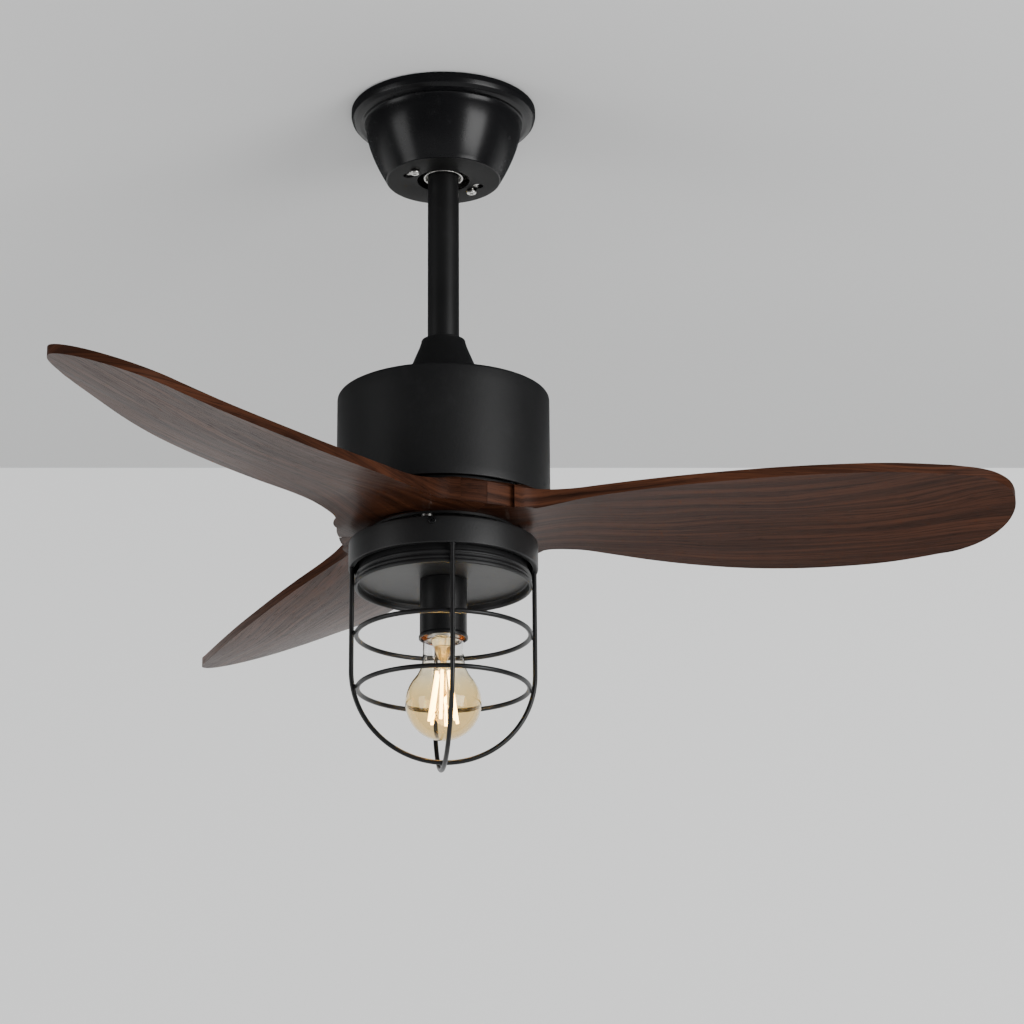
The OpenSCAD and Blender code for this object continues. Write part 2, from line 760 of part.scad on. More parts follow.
function globe_arc(inset) = [for (i = [0 : 24])
    let (a = meet_angle + (-90 - meet_angle) * i / 24)
    [(globe_r - inset) * cos(a), -globe_depth + (globe_r - inset) * sin(a)]];
function blend_arc(inset) = [for (i = [0 : 7])
    let (a = 180 + meet_angle * i / 8)
    [blend_x + (blend_r + inset) * cos(a), -blend_depth + (blend_r + inset) * sin(a)]];

module bulb_globe() {
    outer = concat([[11, -neck_top], [neck_r - 2, -neck_top], [neck_r, -neck_top - 2]],
                   blend_arc(0), globe_arc(0));
    inner = concat([[11, -neck_top - glass_wall], [neck_r - 2 - glass_wall / 2, -neck_top - glass_wall],
                    [neck_r - glass_wall, -neck_top - 2 - glass_wall / 2]],
                   blend_arc(glass_wall), globe_arc(glass_wall));
    wall = concat(outer, [for (i = [len(inner) - 1 : -1 : 0]) inner[i]]);
    color([1, 0.75, 0.35, 0.5]) rotate_extrude() polygon(wall);
}

thread_pitch = 3.6;
module bulb_cap() {
    ridge = [for (i = [0 : 23]) let (turn = i / 4)
        [12.9 + 0.35 * sin(turn * 360), -cap_top - 1 - i * thread_pitch / 4 * 0.87]];
    color([0.78, 0.74, 0.66]) rotate_extrude() polygon(concat(
        [[0, -cap_top], [9, -cap_top], [12.4, -cap_top - 0.6]], ridge,
        [[13, -neck_top + 0.05], [0, -neck_top + 0.05]]));
}

module bulb_contact() {
    color([0.7, 0.7, 0.7]) union() {
        post_at(4.5, contact_top + 0.4, contact_top + 1.6);
        post_at(6.5, contact_top + 1.6, cap_top - 0.02);
    }
}

filament_top = globe_depth - 22.6;
filament_bottom = globe_depth + 15.8;
module bulb_stem() {
    color([0.95, 0.95, 0.95, 0.4]) union() {
        translate([0, 0, -neck_top - 10]) cylinder(r1 = 3.5, r2 = 9, h = 9.9);
        post_at(2.2, neck_top + 9, globe_depth - 6);
    }
}

module bulb_filaments() {
    color([1, 0.7, 0.3]) for (turn = [0 : 90 : 270]) rotate(turn + 20) hull() {
        translate([5.5, 0, -filament_top]) sphere(r = 0.8, $fn = 12);
        translate([11.5, 0, -filament_bottom]) sphere(r = 0.8, $fn = 12);
    }
}

mounting_bracket();
canopy();
canopy_screws();
receiver_module();
terminal_block();
hanger_ball();
hanger_pin();
hanger_pin_clip();
ball_set_screw();
downrod();
supply_leads();
motor_yoke();
yoke_bolt();
yoke_bolt_clip();
yoke_set_screws();
coupling_cover();
motor_housing();
housing_screws();
hollow_shaft();
stator_core();
stator_windings();
driver_board();
rotor_shell();
rotor_cover();
rotor_magnets();
upper_bearing();
lower_bearing();
blade_carrier();
blade_1();
blade_2();
blade_3();
blade_clamp();
blade_screws();
shaft_nut();
light_strap();
light_ring();
light_ring_screws();
light_pan();
lampholder_cover();
lampholder_insulator();
lampholder_shell();
lampholder_contact();
cage_hoop_side();
cage_hoop_front();
cage_ring_upper();
cage_ring_lower();
bulb_globe();
bulb_cap();
bulb_contact();
bulb_stem();
bulb_filaments();
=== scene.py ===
import bpy
import json
import math
from mathutils import Matrix, Vector


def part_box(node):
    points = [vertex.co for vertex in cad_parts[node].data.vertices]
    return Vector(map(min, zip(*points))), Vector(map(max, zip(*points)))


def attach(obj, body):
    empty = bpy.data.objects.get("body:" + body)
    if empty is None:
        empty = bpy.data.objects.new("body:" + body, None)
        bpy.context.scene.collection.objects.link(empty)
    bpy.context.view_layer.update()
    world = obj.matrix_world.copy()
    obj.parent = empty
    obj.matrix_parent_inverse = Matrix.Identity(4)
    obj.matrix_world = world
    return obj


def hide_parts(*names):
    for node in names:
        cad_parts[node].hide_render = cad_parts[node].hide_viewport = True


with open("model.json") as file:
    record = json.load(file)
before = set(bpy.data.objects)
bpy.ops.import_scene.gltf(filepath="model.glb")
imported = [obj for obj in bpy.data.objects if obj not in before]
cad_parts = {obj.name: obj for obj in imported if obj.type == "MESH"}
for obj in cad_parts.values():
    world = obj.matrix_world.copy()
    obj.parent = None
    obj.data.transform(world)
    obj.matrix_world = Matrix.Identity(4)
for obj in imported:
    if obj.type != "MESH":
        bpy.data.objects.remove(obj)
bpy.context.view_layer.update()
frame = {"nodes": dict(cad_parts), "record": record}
mm = 0.001


# shader helpers

class Channel:  # one output socket, with sums and products that add their own Math nodes
    def __init__(self, finish, socket):
        self.finish = finish
        self.socket = socket

    def math(self, operation, other=None, swap=False):
        pair = [other, self] if swap else [self, other]
        values = {i: v for i, v in enumerate(pair) if v is not None}
        return self.finish.node("ShaderNodeMath", {"operation": operation}, values)

    def __add__(self, other):
        return self.math("ADD", other)

    __radd__ = __add__

    def __sub__(self, other):
        return self.math("SUBTRACT", other)

    def __rsub__(self, other):
        return self.math("SUBTRACT", other, swap=True)

    def __mul__(self, other):
        return self.math("MULTIPLY", other)

    __rmul__ = __mul__


class Finish:  # a material and the nodes that it is made of
    def __init__(self, name):
        self.material = bpy.data.materials.new(name)
        self.material.use_nodes = True
        self.tree = self.material.node_tree
        self.shader = self.tree.nodes["Principled BSDF"]
        self.place = self.node("ShaderNodeTexCoord", output="Object")
        self.flat = self.node("ShaderNodeUVMap")

    def node(self, kind, settings=None, inputs=None, output=0):
        made = self.tree.nodes.new(kind)
        for key, value in (settings or {}).items():
            if key == "stops":
                ramp = made.color_ramp
                while len(ramp.elements) < len(value):
                    ramp.elements.new(0.5)
                for element, (position, colour) in zip(ramp.elements, value):
                    element.position = position
                    element.color = (*colour, 1)
            else:
                setattr(made, key, value)
        for key, value in (inputs or {}).items():
            self.feed(made.inputs[key], value)
        return Channel(self, made.outputs[output])

    def feed(self, socket, value):
        if isinstance(value, Channel):
            self.tree.links.new(value.socket, socket)
        elif socket.type == "RGBA" and len(value) == 3:
            socket.default_value = (*value, 1)
        else:
            socket.default_value = value

    def set(self, **inputs):
        for key, value in inputs.items():
            self.feed(self.shader.inputs[key.replace("_", " ")], value)
        return self

    def noise(self, scale, detail=4, roughness=0.55, where=None, stretch=None):
        where = where or self.place
        if stretch:
            where = self.node("ShaderNodeMapping", None, {"Vector": where, "Scale": stretch})
        return self.node("ShaderNodeTexNoise", None,
                         {"Vector": where, "Scale": scale, "Detail": detail, "Roughness": roughness})

    def ramp(self, factor, stops):
        return self.node("ShaderNodeValToRGB", {"stops": stops}, {"Fac": factor})

    def blend(self, factor, a, b, how="MIX"):
        return self.node("ShaderNodeMix", {"data_type": "RGBA", "blend_type": how},
                         {0: factor, 6: a, 7: b}, output=2)

    def remap(self, value, low, high, toLow, toHigh):
        return self.node("ShaderNodeMapRange", None,
                         {0: value, 1: low, 2: high, 3: toLow, 4: toHigh})

    def bump(self, height, strength, distance, under=None):
        inputs = {"Height": height, "Strength": strength, "Distance": distance}
        if under:
            inputs["Normal"] = under
        return self.node("ShaderNodeBump", None, inputs)


# finishes

def powderCoat(name, colour, sheen, rough, peel):
    f = Finish(name)
    cloud = f.noise(14, 3)
    speck = f.noise(1500, 2)
    orange = f.noise(420, 3)
    dust = f.noise(90, 6, 0.7)
    dusty = f.remap(dust, 0.55, 0.8, 0, 1)
    light = [c * 1.4 + 0.0012 for c in colour]
    tone = f.blend(cloud, colour, light)
    tone = f.blend(dusty * 0.15, tone, [c + 0.02 for c in light])
    f.set(Base_Color=tone, Roughness=f.remap(cloud + dusty * 0.3, 0.3, 1, rough, rough + 0.12))
    f.set(Normal=f.bump(orange + speck * 0.35, peel, 0.00025))
    f.set(Specular_IOR_Level=sheen)
    return f.material


def metal(name, colour, rough, scratch=0.4, stretch=(1, 1, 40)):
    f = Finish(name)
    cloud = f.noise(25, 4)
    brushed = f.noise(60, 5, 0.6, stretch=stretch)
    stain = f.remap(f.noise(110, 5, 0.65), 0.5, 0.8, 0, 1)
    tone = f.blend(cloud, [c * 0.8 for c in colour], colour)
    tone = f.blend(stain * 0.35, tone, [c * 0.45 for c in colour])
    f.set(Base_Color=tone, Metallic=1.0, Roughness=f.remap(brushed, 0.3, 0.75, rough, rough + 0.2))
    f.set(Normal=f.bump(brushed, scratch, 0.0001))
    return f.material


def moulded(name, colour, rough, speckle=0.15):
    f = Finish(name)
    cloud = f.noise(30, 4)
    grain = f.noise(900, 3)
    tone = f.blend(cloud, [c * 0.86 for c in colour], colour)
    f.set(Base_Color=tone, Roughness=f.remap(cloud, 0.3, 0.7, rough, rough + 0.12))
    f.set(Normal=f.bump(grain, speckle, 0.0002))
    return f.material


def walnut(name, tint, red, sheen, gloss, paintedSheen, figured):
    f = Finish(name)
    drift = f.noise(1, 2, 0.5, f.flat, (3.2, 9, 1))
    bend = f.node("ShaderNodeCombineXYZ", None, {"Y": (drift - 0.5) * 0.05})
    grainPlace = f.node("ShaderNodeVectorMath", {"operation": "ADD"}, {0: f.flat, 1: bend})
    figure = f.noise(1, 4, 0.6, grainPlace, (3, 120, 1))
    streak = f.noise(1, 4, 0.6, grainPlace, (6, 430, 1))
    fine = f.noise(1, 3, 0.6, grainPlace, (14, 900, 1))
    fibre = f.noise(1, 3, 0.7, grainPlace, (40, 1900, 1))
    pore = f.noise(1, 2, 0.5, grainPlace, (60, 1300, 1))
    broad = f.noise(1, 2, where=f.flat, stretch=(3, 16, 1))
    dark = f.remap(streak, 0.5, 0.62, 0, 1)
    thin = f.remap(fine, 0.5, 0.68, 0, 1)
    pores = f.remap(pore, 0.58, 0.68, 0, 1)
    ink = [c * 0.16 for c in tint]
    darkGrain, paleGrain = [c * 0.5 for c in tint], [c * 1.3 for c in red]
    tone = f.ramp(figure, [(0.34, darkGrain), (0.46, tint), (0.56, red), (0.7, paleGrain)])
    tone = f.blend(f.remap(broad, 0.35, 0.65, 0, 0.5), tone, [c * 0.6 for c in tint])
    tone = f.blend(dark * figured, tone, ink)
    tone = f.blend(thin * figured * 0.7, tone, ink)
    tone = f.blend(f.remap(fibre, 0.35, 0.65, 0, 0.3), tone, [c * 1.3 for c in red])
    tone = f.blend(pores * figured * 0.8, tone, [c * 0.6 for c in ink])
    rough = f.remap(streak, 0.3, 0.7, gloss - 0.04, gloss + 0.07) + pores * 0.15
    # the coat is heavier towards the root and towards the high edge: a painted sheen for the bright wall
    # that these parts reflect, laid over a thin even coat
    spot = f.node("ShaderNodeUVMap", {"uv_map": "plan"})
    along = f.node("ShaderNodeSeparateXYZ", None, {0: spot}, output="X")
    across = f.node("ShaderNodeSeparateXYZ", None, {0: spot}, output="Y")
    lacquerAndPaintedSheen = f.remap(across + along * 0.14, -0.03, 0.06, 1, 0) * paintedSheen + 0.01
    f.set(Base_Color=tone, Roughness=rough, Specular_IOR_Level=sheen, Coat_Weight=lacquerAndPaintedSheen,
          Coat_Roughness=0.3)
    height = fibre * 0.35 + streak * 0.4 - pores
    f.set(Normal=f.bump(height, 0.3, 0.00018))
    return f.material


def amberGlass(name, clearZ, amberZ):
    f = Finish(name)
    z = f.node("ShaderNodeSeparateXYZ", None, {0: f.place}, output="Z")
    low = f.remap(z, clearZ, amberZ, 0, 1)
    streaks = f.noise(35, 2)
    tone = f.ramp(low + (streaks - 0.5) * 0.12,
                  [(0, (0.995, 0.99, 0.98)), (0.3, (0.995, 0.945, 0.83)), (0.7, (0.995, 0.88, 0.63)),
                   (1, (0.995, 0.82, 0.5))])
    f.set(Base_Color=tone, Roughness=f.remap(streaks, 0.4, 0.8, 0.0, 0.03))
    f.set(Transmission_Weight=1.0, IOR=1.42, Normal=f.bump(f.noise(45, 2), 0.04, 0.0006))
    return f.material


def glowing(name, colour, strength, rough=0.6, clear=0.0):
    f = Finish(name)
    bead = f.noise(700, 2)
    tone = f.blend(f.remap(bead, 0.3, 0.7, 0, 1), [c * 0.7 for c in colour], colour)
    f.set(Base_Color=f.blend(bead, (0.95, 0.85, 0.6), (0.9, 0.75, 0.35)), Roughness=rough)
    f.set(Emission_Color=tone, Emission_Strength=strength, Transmission_Weight=clear)
    return f.material


def circuitBoard(name):
    f = Finish(name)
    tracks = f.node("ShaderNodeTexBrick", None,
                    {"Vector": f.place, "Scale": 160, "Color1": (0.012, 0.11, 0.05),
                     "Color2": (0.02, 0.16, 0.07), "Mortar": (0.35, 0.3, 0.12), "Mortar Size": 0.03})
    f.set(Base_Color=tracks, Roughness=f.remap(f.noise(200), 0.3, 0.7, 0.3, 0.5))
    return f.material


finishes = {
    "satinBlack": powderCoat("satinBlack", (0.0042, 0.0042, 0.0047), 0.21, 0.22, 0.08),
    "rodBlack": powderCoat("rodBlack", (0.0048, 0.0048, 0.005), 0.4, 0.36, 0.12),
    "matteBlack": powderCoat("matteBlack", (0.0055, 0.0055, 0.0058), 0.4, 0.42, 0.25),
    "wireBlack": powderCoat("wireBlack", (0.005, 0.005, 0.0053), 0.4, 0.32, 0.16),
    # a copy of the satin black for the canopy's flat underside, with its reflection turned down so that it
    # reads darker: painted shade
    "discPaintedShade": powderCoat("discPaintedShade", (0.008, 0.008, 0.0078), 0.07, 0.4, 0.1),
    # a lighter, glossier copy of the matte black for the pan's flat plate: painted light, for the bulb's
    # light and the floor's reflection on the plate
    "platePaintedLight": powderCoat("platePaintedLight", (0.014, 0.014, 0.0135), 0.46, 0.4, 0.2),
    "brightSteel": metal("brightSteel", (0.72, 0.71, 0.68), 0.2),
    "darkSteel": metal("darkSteel", (0.34, 0.34, 0.35), 0.34),
    "copper": metal("copper", (0.86, 0.45, 0.24), 0.25),
    "capMetal": metal("capMetal", (0.74, 0.71, 0.62), 0.25),
    "whitePlastic": moulded("whitePlastic", (0.75, 0.74, 0.7), 0.42),
    "blackNylon": moulded("blackNylon", (0.02, 0.02, 0.021), 0.4),
    "boardGreen": circuitBoard("boardGreen"),
    "filament": glowing("filament", (1.0, 0.66, 0.25), 90.0),
    # the glass stem is no lamp: its faint amber emission is a painted glow of the filaments' light
    "stemGlass": glowing("stemGlass", (1.0, 0.5, 0.12), 0.06, 0.05, 0.97),
    "walnutFace": walnut("walnutFace", (0.036, 0.0135, 0.0075), (0.074, 0.026, 0.0125), 0.06, 0.36, 0.18,
                         0.7),
    # the edge band's colour is partly its own redder solid wood and partly a painted highlight, brightened
    # for the window light that the band reflects near the hub
    "walnutEdgeAndSheen": walnut("walnutEdgeAndSheen", (0.25, 0.105, 0.07), (0.37, 0.16, 0.11), 0.4, 0.36, 0.1, 0.4),
    "walnutLine": walnut("walnutLine", (0.02, 0.0085, 0.006), (0.035, 0.014, 0.009), 0.2, 0.4, 0.05, 0.5),
}
print("finishes:", len(finishes))


# modelling helpers

def clearSelection():
    if bpy.context.mode != "OBJECT":
        bpy.ops.object.mode_set(mode="OBJECT")
    bpy.ops.object.select_all(action="DESELECT")


def edit():
    bpy.ops.object.mode_set(mode="EDIT")


def leaveEdit():
    bpy.ops.object.mode_set(mode="OBJECT")


def select(piece):
    clearSelection()
    piece.select_set(True)
    bpy.context.view_layer.objects.active = piece


def settle(piece):  # place, turn and size go into the mesh
    select(piece)
    bpy.ops.object.transform_apply(location=True, rotation=True, scale=True)


def cleanMesh(piece):
    select(piece)
    edit()
    bpy.ops.mesh.select_all(action="SELECT")
    bpy.ops.mesh.remove_doubles(threshold=0.01 * mm)
    bpy.ops.mesh.dissolve_degenerate(threshold=0.005 * mm)
    bpy.ops.mesh.select_all(action="SELECT")
    bpy.ops.mesh.normals_make_consistent(inside=False)
    leaveEdit()


def smooth(piece, angle=32):
    select(piece)
    bpy.ops.object.shade_smooth_by_angle(angle=math.radians(angle))


def apply(piece, kind, **settings):
    select(piece)
    modifier = piece.modifiers.new(kind.lower(), kind)
    for key, value in settings.items():
        setattr(modifier, key, value)
    bpy.ops.object.modifier_apply(modifier=modifier.name)


def finishPiece(piece, body, finish, nodes=()):
    piece.data.materials.clear()
    for name in finish if isinstance(finish, (list, tuple)) else [finish]:
        piece.data.materials.append(finishes[name])
    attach(piece, body)
    if nodes:
        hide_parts(*nodes)
    return piece


def paintFlat(piece, radius):  # the flat underside within a radius takes the second finish, a copy of the first that carries painted light (painted shade on the canopy's disc, painted sheen on the pan's plate)
    for face in piece.data.polygons:
        if face.normal.z < -0.95 and math.hypot(*face.center.xy) < radius * mm:
            face.material_index = 1


def joined(pieces, name):
    clearSelection()
    for piece in pieces:
        piece.select_set(True)
    bpy.context.view_layer.objects.active = pieces[0]
    bpy.ops.object.join()
    pieces[0].name = name
    return pieces[0]


def rounded(outline, steps=4):
    # each point is (radius, height) or (radius, height, rounding); a rounded corner becomes an arc
    made = []
    count = len(outline)
    for i, point in enumerate(outline):
        here = Vector(point[:2])
        rounding = point[2] if len(point) > 2 else 0
        before = Vector(outline[i - 1][:2]) - here
        after = Vector(outline[(i + 1) % count][:2]) - here
        if rounding <= 0 or before.length == 0 or after.length == 0:
            made.append(here)
            continue
        half = before.angle(after) / 2
        reach = min(rounding / math.tan(half), before.length * 0.49, after.length * 0.49)
        start, end = here + before.normalized() * reach, here + after.normalized() * reach
        for step in range(steps + 1):
            t = step / steps
            made.append(start * (1 - t) ** 2 + here * 2 * t * (1 - t) + end * t ** 2)
    return made


def lathe(name, outline, steps=128, angle=32):
    # a closed outline in millimetres is spun about the fan's axis
    points = [p * mm for p in rounded(outline)]
    clearSelection()
    bpy.ops.mesh.primitive_circle_add(vertices=len(points), radius=1 * mm, fill_type="NOTHING")
    piece = bpy.context.object
    piece.name = name
    for vertex, point in zip(piece.data.vertices, points):
        vertex.co = (point.x, 0, point.y)
    edit()
    bpy.ops.mesh.select_all(action="SELECT")
    bpy.ops.mesh.spin(steps=steps, angle=2 * math.pi, center=(0, 0, 0), axis=(0, 0, 1))
    leaveEdit()
    cleanMesh(piece)
    smooth(piece, angle)
    return piece


def drum(name, radius, depth, place, direction=(0, 0, 1), sides=48, edge=0.0):
    clearSelection()
    turn = Vector((0, 0, 1)).rotation_difference(Vector(direction)).to_euler()
    bpy.ops.mesh.primitive_cylinder_add(vertices=sides, radius=radius, depth=depth, location=place,
                                        rotation=turn)
    piece = bpy.context.object
    piece.name = name
    settle(piece)
    if edge:
        apply(piece, "BEVEL", width=edge, segments=3, limit_method="ANGLE", angle_limit=math.radians(40))
    return piece


def cut(piece, cutters):
    for cutter in cutters:
        apply(piece, "BOOLEAN", operation="DIFFERENCE", object=cutter, solver="EXACT")
        bpy.data.objects.remove(cutter)


def panScrew(name, seat, direction, headRadius, headHeight):
    # a domed head with a cross recess, its seat at the given place
    out = Vector(direction).normalized()
    middle = Vector(seat) + out * headHeight * 0.5
    head = drum(name, headRadius, headHeight, middle, out, 40)
    apply(head, "BEVEL", width=headHeight * 0.62, segments=5, limit_method="ANGLE",
          angle_limit=math.radians(40), profile=0.55)
    bars = []
    across = out.orthogonal().normalized()
    for way in (across, out.cross(across)):
        clearSelection()
        bpy.ops.mesh.primitive_cube_add(size=1)
        bar = bpy.context.object
        bar.scale = (headRadius * 1.05, headRadius * 0.24, headHeight * 0.9)
        frameOfBar = Matrix((way, out.cross(way), out)).transposed().to_4x4()
        bar.matrix_world = (Matrix.Translation(Vector(seat) + out * headHeight * 0.95)
                            @ frameOfBar @ Matrix.Diagonal((*bar.scale, 1)))
        settle(bar)
        bars.append(bar)
    cut(head, bars)
    smooth(head, 35)
    return head


# canopy

canopy = {
    "rimRadius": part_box("canopy")[1].x / mm,
    "rimDepth": 13,
    "bellTop": 65.5,
    "bellBottom": 47.5,
    "depth": -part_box("canopy")[0].z / mm,
    "hole": 22,
    "wall": 1.6,
    "screwRadius": 31,
    "screwAngle": math.radians(40),
    "keyholeSweep": math.radians(20),
}


def bellRadius(t):
    return canopy["bellTop"] - (canopy["bellTop"] - canopy["bellBottom"]) * t ** 1.6


def makeCanopy():
    c = canopy
    rim, deep, wall = c["rimRadius"], c["depth"], c["wall"]
    bell = []
    for i in range(25):
        t = 0.97 * i / 24
        bell.append((bellRadius(t), -c["rimDepth"] - 0.6 - t * (deep - c["rimDepth"] - 0.6)))
    inner = [(r - wall, z + 0.4) for r, z in reversed(bell)]
    outline = ([(rim - wall, 0), (rim, 0, 0.8), (rim, -5, 2), (rim - 0.9, -8.6, 3), (rim - 3.4, -11.6, 3),
                (rim - 7.5, -c["rimDepth"], 3), (bell[0][0] + 1.2, -c["rimDepth"] + 0.6, 1)]
               + bell[1:]
               + [(c["bellBottom"] + 0.2, -deep, 1.2), (c["hole"], -deep, 0.5),
                  (c["hole"], -deep + wall, 0.5),
                  (c["bellBottom"] - 1, -deep + wall)]
               + inner[:-1]
               + [(c["bellTop"] - wall, -c["rimDepth"] + wall),
                  (rim - wall - 4, -c["rimDepth"] + wall + 1, 2)])
    piece = lathe("canopyBell", outline, 160)
    cutters = []
    for side in (0, math.pi):
        for step in range(9):
            a = c["screwAngle"] + side - c["keyholeSweep"] * step / 8
            radius = 4.4 if step == 8 else 2.4
            place = (c["screwRadius"] * math.cos(a) * mm, c["screwRadius"] * math.sin(a) * mm, -deep * mm)
            cutters.append(drum("keyhole", radius * mm, 8 * mm, place, sides=32))
    cut(piece, cutters)
    smooth(piece, 30)
    finishPiece(piece, "ceiling_mount", ["satinBlack", "discPaintedShade"], ["canopy"])
    # the flat underside takes the copy of the satin black with painted shade
    paintFlat(piece, c["bellBottom"] - 1)
    heads = []
    for side in (0, math.pi):
        a = c["screwAngle"] + side
        seat = (c["screwRadius"] * math.cos(a) * mm, c["screwRadius"] * math.sin(a) * mm,
                -(deep + 0.05) * mm)
        head = panScrew("canopyScrew", seat, (0, 0, -1), 4.1 * mm, 2.7 * mm)
        shank = drum("shank", 1.9 * mm, 7 * mm, (seat[0], seat[1], seat[2] + 3.4 * mm), sides=24)
        heads.extend([head, shank])
    screws = joined(heads, "canopyScrews")
    finishPiece(screws, "ceiling_mount", "brightSteel", ["canopy_screws"])


makeCanopy()
print("canopy made")


# downrod and coupling cover

rod = {
    "radius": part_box("downrod")[1].x / mm,
    "wall": 2,
    "top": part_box("downrod")[1].z / mm,
    "bottom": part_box("downrod")[0].z / mm,
}
cover = {
    "top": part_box("coupling_cover")[1].z / mm,
    "bottom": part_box("coupling_cover")[0].z / mm,
    "foot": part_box("coupling_cover")[1].x / mm,
    "topRadius": 18.2,
}


def makeRod():
    r, w = rod["radius"], rod["wall"]
    outline = [(r - w, rod["top"], 0.4), (r, rod["top"], 0.6), (r, rod["top"] - 60),
               (r, rod["bottom"], 0.5),
               (r - w, rod["bottom"], 0.4)]
    piece = lathe("downrodTube", outline, 96)
    holes = [drum("pinHole", 3 * mm, 40 * mm, (0, 0, z * mm), (1, 0, 0), 32)
             for z in (-32, rod["bottom"] + 12)]
    cut(piece, holes)
    smooth(piece, 30)
    finishPiece(piece, "hanging_column", "rodBlack", ["downrod"])
    collar = lathe("ballCollar", [(r + 0.05, -50), (17.4, -50, 0.6), (17, -58, 1), (16.4, -61.6, 0.5),
                                  (15.3, -61.6, 0.5), (14.6, -58.4, 0.6), (r + 0.05, -57, 0.4)], 72, 40)
    finishPiece(collar, "hanging_column", "brightSteel")


def makeCover():
    top, foot, r = cover["top"], cover["foot"], cover["topRadius"]
    outline = [(13.25, top, 0.4), (r, top, 0.7), (r, top - 1.4, 0.5), (r + 1.7, top - 6.8, 6),
               (r + 5.6, top - 16.3, 12), (foot, cover["bottom"], 0.3), (foot - 1.6, cover["bottom"], 0.3),
               (r + 4.4, top - 17, 12), (r + 0.5, top - 7.4, 6), (r - 1.2, top - 3), (13.25, top - 3)]
    piece = lathe("couplingCover", outline, 128, 40)
    finishPiece(piece, "hanging_column", "rodBlack", ["coupling_cover"])


makeRod()
makeCover()
print("downrod and coupling cover made")


# motor housing

housing = {
    "radius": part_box("motor_housing")[1].x / mm,
    "top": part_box("motor_housing")[1].z / mm,
    "bottom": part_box("motor_housing")[0].z / mm,
    "wall": 1.8,
    "shoulder": 2.5,
    "bore": 9.1,
}


def makeHousing():
    h = housing
    r, w = h["radius"], h["wall"]
    outline = [(h["bore"], h["top"]), (r, h["top"], h["shoulder"]), (r, h["top"] - 12),
               (r, h["bottom"] + 8),
               (r, h["bottom"], 0.7), (r - w, h["bottom"], 0.5), (r - w, h["top"] - 2.5, 3),
               (h["bore"], h["top"] - 2.5)]
    piece = lathe("motorHousing", outline, 192)
    holes = []
    for quarter in range(4):
        a = math.radians(45 + 90 * quarter)
        holes.append(drum("screwHole", 2.1 * mm, 12 * mm,
                          (24 * math.cos(a) * mm, 24 * math.sin(a) * mm, h["top"] * mm), sides=24))
    a = math.radians(100)
    holes.append(drum("leadHole", 4 * mm, 12 * mm, (6.5 * math.cos(a) * mm, 6.5 * math.sin(a) * mm,
                                                    h["top"] * mm)))
    cut(piece, holes)
    smooth(piece, 30)
    finishPiece(piece, "hanging_column", "matteBlack", ["motor_housing"])


makeHousing()
print("motor housing made")


# blades

blades = {
    "hubRadius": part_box("blade_carrier")[1].x / mm + 3,
    "hubTop": -355.8,
    "hubBottom": -374.9,
    "innerRadius": 24,
    "firstAngle": -5.5,
    "seam": 0.16,
    "edgeRadius": 1.6,
    "across": 40,
    "tipCentre": 400,
}
# station, half width towards the high edge and towards the low edge, pitch, thickness, height
bladeLine = [
    (24, 60, 60, 0, 19.1, -365.35), (60, 63, 63, 0.2, 19.1, -365.35),
    (64.4, 58.5, 58.5, 0.5, 18.9, -365.35), (68, 55.1, 55.1, 0.8, 18.5, -365.35),
    (72, 52.3, 52.3, 1.1, 17.8, -365.35), (77, 50.1, 50.1, 1.6, 16.7, -365.4),
    (83, 48.9, 48.9, 2.2, 15.2, -365.4), (90, 48.7, 48.7, 3, 13.6, -365.5),
    (100, 49.3, 49.3, 4.2, 11.6, -365.7), (112, 50.9, 50.7, 5.5, 9.8, -366),
    (132, 54.6, 54.3, 7.4, 8.8, -366.9), (165, 60.8, 60.4, 9.3, 8.3, -368.5),
    (200, 65.4, 64.8, 10.9, 8.1, -369.8), (240, 68.3, 67.5, 12.4, 8, -370.7),
    (280, 68.7, 67.9, 13.6, 7.9, -370.7), (320, 65.2, 65.8, 15, 7.8, -369.6),
    (360, 58.3, 61.7, 16.6, 7.7, -367.5), (400, 48.8, 55, 17.4, 7.6, -364.9),
    (430, 40, 48, 18.1, 7.4, -362.7), (460, 30, 40, 18.8, 7.2, -360.6),
]
# reach of the tip's outline from its centre, by direction from the high edge round to the low edge
tipReach = [(-90, 48.8), (-72, 46.6), (-54, 48.4), (-36, 52.6), (-18, 56.8), (0, 58), (18, 57.2),
            (36, 55.6),
            (54, 54.4), (72, 54.2), (90, 55)]


def curveThrough(line, place, column):
    # a smooth curve through the rows of a table
    if place <= line[0][0]:
        return line[0][column]
    if place >= line[-1][0]:
        return line[-1][column]
    i = max(k for k in range(len(line) - 1) if line[k][0] <= place)
    a, b = line[i], line[i + 1]
    before, after = line[max(i - 1, 0)], line[min(i + 2, len(line) - 1)]
    width = b[0] - a[0]
    slopeA = (b[column] - before[column]) / (b[0] - before[0])
    slopeB = (after[column] - a[column]) / (after[0] - a[0])
    t = (place - a[0]) / width
    return ((2 * t ** 3 - 3 * t * t + 1) * a[column] + (t ** 3 - 2 * t * t + t) * slopeA * width
            + (3 * t * t - 2 * t ** 3) * b[column] + (t ** 3 - t * t) * slopeB * width)


def tipPoint(turn):
    reach = curveThrough(tipReach, math.degrees(turn), 1)
    return blades["tipCentre"] + reach * math.cos(turn), reach * math.sin(turn)


def arcRow(share):
    # an arc about the fan's axis, across one third of the hub
    b = blades
    radius = b["innerRadius"] + (b["hubRadius"] - b["innerRadius"]) * share
    row = []
    for k in range(b["across"] + 1):
        turn = (2 * k / b["across"] - 1) * math.radians(64)
        row.append((radius * math.cos(turn), radius * math.sin(turn)))
    return row


